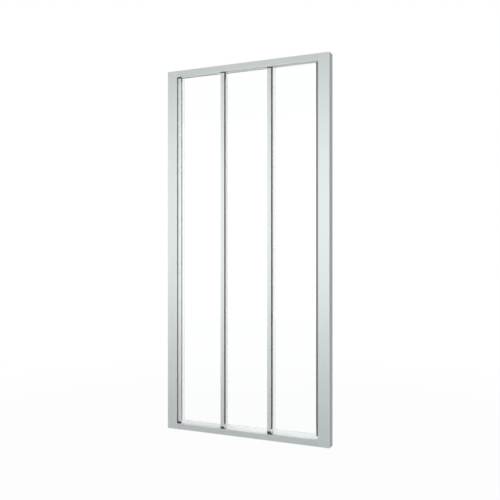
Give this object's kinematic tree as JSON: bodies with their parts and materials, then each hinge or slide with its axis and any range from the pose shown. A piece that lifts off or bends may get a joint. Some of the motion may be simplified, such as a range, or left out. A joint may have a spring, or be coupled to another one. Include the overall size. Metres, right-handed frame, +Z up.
{
  "type": "sliding shower door",
  "caption": "Telescopic sliding shower door for an alcove: satin aluminium frame, a fixed clear pane, and sliding panes hung on rollers that stack in parallel lanes.",
  "frame": {"origin": "middle of the footprint, on the floor, with the door closed", "axes": "+X to the right as seen from the room, the way the panels open; +Y into the shower; +Z up"},
  "size_m": [0.9, 0.05, 1.88],
  "materials": {
    "aluminium": "satin anodised, bright silver",
    "polished_aluminium": "polished and anodised, bright",
    "mill_aluminium": "plain extruded, grey",
    "clear_glass": "clear safety glass, polished",
    "clear_bead": "clear soft glazing bead",
    "dark_plastic": "moulded, dark grey",
    "cap_plastic": "moulded, grey",
    "grey_vinyl": "extruded, mid grey, satin",
    "rubber": "grey, matt",
    "magnet_seal": "dark magnetic strip, satin",
    "brush_seal": "grey pile strip",
    "white_nylon": "white nylon, satin",
    "steel": "stainless, satin"
  },
  "bodies": {
    "frame": {"left_jamb": "aluminium", "right_jamb": "aluminium", "left_wall_channel": "mill_aluminium", "right_wall_channel": "mill_aluminium", "header_track": "aluminium", "sill_track": "aluminium", "corner_screws": "steel", "jamb_screws": "steel", "screw_cover_strips": "aluminium", "jamb_top_caps": "cap_plastic", "jamb_magnet_seal": "magnet_seal", "track_buffers": "white_nylon", "fixed_glass": "clear_glass", "fixed_left_stile": "aluminium", "fixed_right_stile": "grey_vinyl", "fixed_bottom_rail": "polished_aluminium", "fixed_glazing_gasket": "rubber", "fixed_glazing_bead": "clear_bead", "fixed_corner_block": "dark_plastic", "fixed_panel_screws": "steel"},
    "middle_panel": {"middle_glass": "clear_glass", "middle_left_stile": "aluminium", "middle_right_stile": "aluminium", "middle_top_rail": "aluminium", "middle_bottom_rail": "polished_aluminium", "middle_glazing_gasket": "rubber", "middle_glazing_bead": "clear_bead", "middle_overlap_seal": "brush_seal", "middle_stop_lugs": "dark_plastic", "middle_top_blocks": "dark_plastic", "middle_guide_blocks": "dark_plastic", "middle_hangers": "steel", "middle_axles": "steel", "middle_hanger_screws": "steel", "middle_rail_screws": "steel"},
    "middle_left_roller": {"middle_left_wheel": "white_nylon", "middle_left_bearing": "steel"},
    "middle_right_roller": {"middle_right_wheel": "white_nylon", "middle_right_bearing": "steel"},
    "leading_panel": {"leading_glass": "clear_glass", "leading_left_stile": "aluminium", "leading_right_stile": "aluminium", "leading_top_rail": "aluminium", "leading_bottom_rail": "polished_aluminium", "leading_glazing_gasket": "rubber", "leading_glazing_bead": "clear_bead", "leading_overlap_seal": "brush_seal", "leading_stop_lugs": "dark_plastic", "leading_top_blocks": "dark_plastic", "leading_guide_blocks": "dark_plastic", "leading_hangers": "steel", "leading_axles": "steel", "leading_hanger_screws": "steel", "leading_rail_screws": "steel", "leading_magnet_seal": "magnet_seal"},
    "leading_left_roller": {"leading_left_wheel": "white_nylon", "leading_left_bearing": "steel"},
    "leading_right_roller": {"leading_right_wheel": "white_nylon", "leading_right_bearing": "steel"}
  },
  "joints": [
    {"name": "middle_slide", "type": "slide", "parent": "frame", "child": "middle_panel", "axis": [1, 0, 0], "range_m": [0, 0.2345]},
    {"name": "leading_slide", "type": "slide", "parent": "middle_panel", "child": "leading_panel", "axis": [1, 0, 0], "range_m": [0, 0.2345]},
    {"name": "leading_left_roller_turn", "type": "hinge", "parent": "leading_panel", "child": "leading_left_roller", "pos_m": [-0.38025, -0.00885, 1.868], "axis": [0, 1, 0], "continuous": true},
    {"name": "leading_right_roller_turn", "type": "hinge", "parent": "leading_panel", "child": "leading_right_roller", "pos_m": [-0.12742, -0.00885, 1.868], "axis": [0, 1, 0], "continuous": true},
    {"name": "middle_left_roller_turn", "type": "hinge", "parent": "middle_panel", "child": "middle_left_roller", "pos_m": [-0.12742, 0.00465, 1.868], "axis": [0, 1, 0], "continuous": true},
    {"name": "middle_right_roller_turn", "type": "hinge", "parent": "middle_panel", "child": "middle_right_roller", "pos_m": [0.12742, 0.00465, 1.868], "axis": [0, 1, 0], "continuous": true}
  ],
  "couplings": [
    {"joint": "leading_left_roller_turn", "follows": "leading_slide", "rad_per_m": 111.11},
    {"joint": "leading_right_roller_turn", "follows": "leading_slide", "rad_per_m": 111.11},
    {"joint": "middle_left_roller_turn", "follows": "middle_slide", "rad_per_m": 111.11},
    {"joint": "middle_right_roller_turn", "follows": "middle_slide", "rad_per_m": 111.11}
  ]
}
